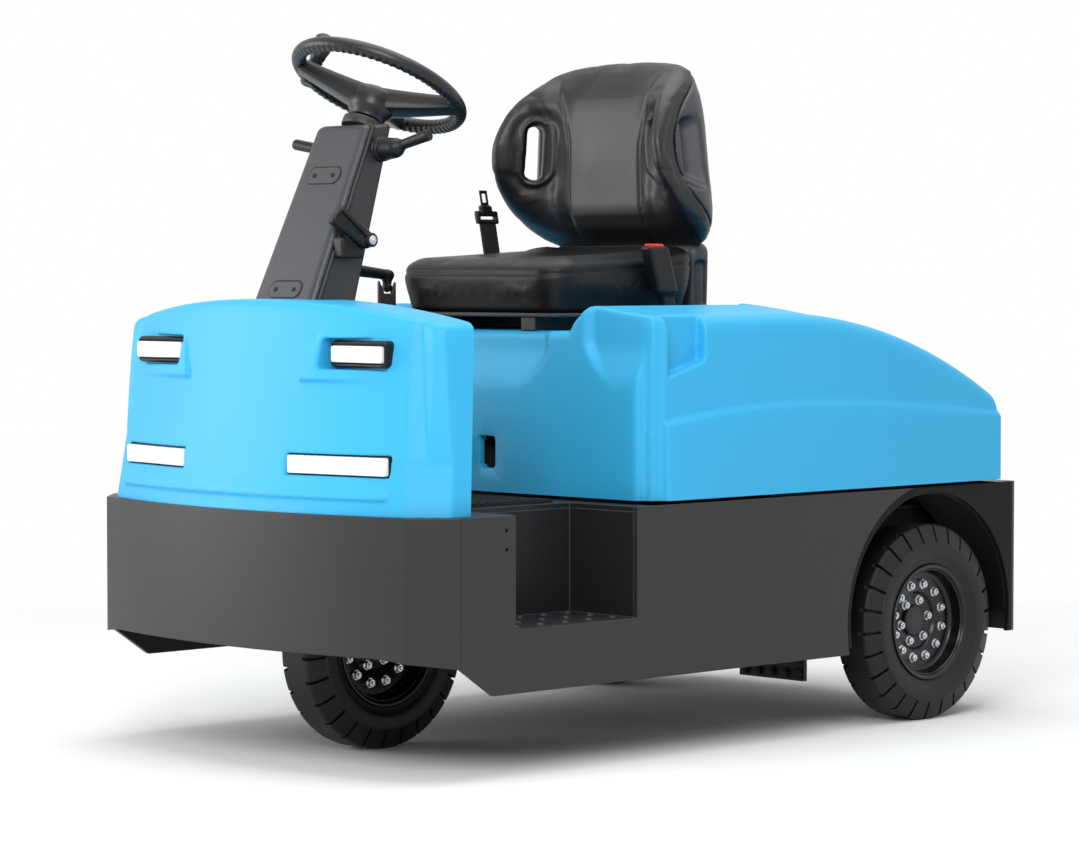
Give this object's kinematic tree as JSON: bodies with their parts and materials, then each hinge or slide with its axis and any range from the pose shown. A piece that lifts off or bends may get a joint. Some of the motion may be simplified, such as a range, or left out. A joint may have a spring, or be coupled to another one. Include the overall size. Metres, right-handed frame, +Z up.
{
  "type": "electric tow tractor",
  "caption": "Three-wheeled electric tow tractor for one driver, with a bow bumper, blue cowl, steered front wheel, tilting hood under the seat and a rear tow coupling.",
  "frame": {"origin": "on the floor under the middle of the overall length and width", "axes": "front is -Y, driver's left is +X, up is +Z"},
  "size_m": [1.042, 1.8999, 1.4107],
  "materials": {
    "chassis_paint": "satin",
    "frame_paint": "satin",
    "axle_casting": "painted",
    "battery_block": "painted",
    "mat_rubber": "matte",
    "blue_panel": "satin",
    "column_plastic": "satin",
    "black_plastic": "matte",
    "black_steel": "satin",
    "lens_white": "clear over white",
    "lens_red": "clear",
    "zinc_steel": "zinc plated",
    "tyre_rubber": "matte",
    "seat_vinyl": "grained vinyl",
    "belt_webbing": "woven"
  },
  "bodies": {
    "chassis": {"front_bumper": "chassis_paint", "side_panel_left": "chassis_paint", "side_panel_right": "chassis_paint", "floor_deck": "frame_paint", "floor_mat": "mat_rubber", "step_well_left": "frame_paint", "step_well_right": "frame_paint", "main_frame": "frame_paint", "rear_plate": "chassis_paint", "wheel_arch_left": "chassis_paint", "wheel_arch_right": "chassis_paint", "cowl": "blue_panel", "dash_panel": "black_plastic", "lamp_housings": "black_plastic", "lamp_lenses": "lens_white", "steering_column": "column_plastic", "column_covers": "black_plastic", "control_levers": "black_plastic", "paddle_handle": "black_plastic", "hand_brake": "black_steel", "pedals": "black_steel", "battery": "battery_block", "drive_axle": "axle_casting", "axle_brackets": "frame_paint", "tow_coupling": "frame_paint", "tow_pin": "zinc_steel", "rear_lamps": "lens_red", "hinge_base": "frame_paint", "steer_bearing": "frame_paint"},
    "fork": {"steer_fork": "frame_paint"},
    "front_wheel": {"front_rim": "black_steel", "front_tyre": "tyre_rubber"},
    "rear_wheel_left": {"rear_rim_left": "black_steel", "rear_tyre_left": "tyre_rubber"},
    "rear_wheel_right": {"rear_rim_right": "black_steel", "rear_tyre_right": "tyre_rubber"},
    "hand_wheel": {"steering_wheel": "black_plastic", "spinner_knob": "black_plastic"},
    "hood_lid": {"hood": "blue_panel", "hinge_leaf": "frame_paint", "seat_rails": "black_steel", "seat_shell": "black_plastic", "seat_cushion": "seat_vinyl", "seat_back": "seat_vinyl", "belt_buckle": "black_plastic", "belt_tongue": "belt_webbing"}
  },
  "joints": [
    {"name": "steer", "type": "hinge", "parent": "chassis", "child": "fork", "pos_m": [0, -0.565, 0.45], "axis": [0, 0, 1], "range_deg": [-75, 75]},
    {"name": "front_spin", "type": "hinge", "parent": "fork", "child": "front_wheel", "pos_m": [0, -0.565, 0.208], "axis": [1, 0, 0], "continuous": true},
    {"name": "rear_spin_left", "type": "hinge", "parent": "chassis", "child": "rear_wheel_left", "pos_m": [0.458, 0.569, 0.208], "axis": [1, 0, 0], "continuous": true},
    {"name": "rear_spin_right", "type": "hinge", "parent": "chassis", "child": "rear_wheel_right", "pos_m": [-0.458, 0.569, 0.208], "axis": [1, 0, 0], "continuous": true},
    {"name": "hand_wheel_turn", "type": "hinge", "parent": "chassis", "child": "hand_wheel", "pos_m": [0, -0.546, 1.319], "axis": [0, 0.454, 0.891], "range_deg": [-337.5, 337.5]},
    {"name": "hood_tilt", "type": "hinge", "parent": "chassis", "child": "hood_lid", "pos_m": [0, 0.811, 0.506], "axis": [-1, 0, 0], "range_deg": [0, 50]}
  ],
  "couplings": [
    {"joint": "hand_wheel_turn", "follows": "steer", "ratio": 4.5}
  ]
}
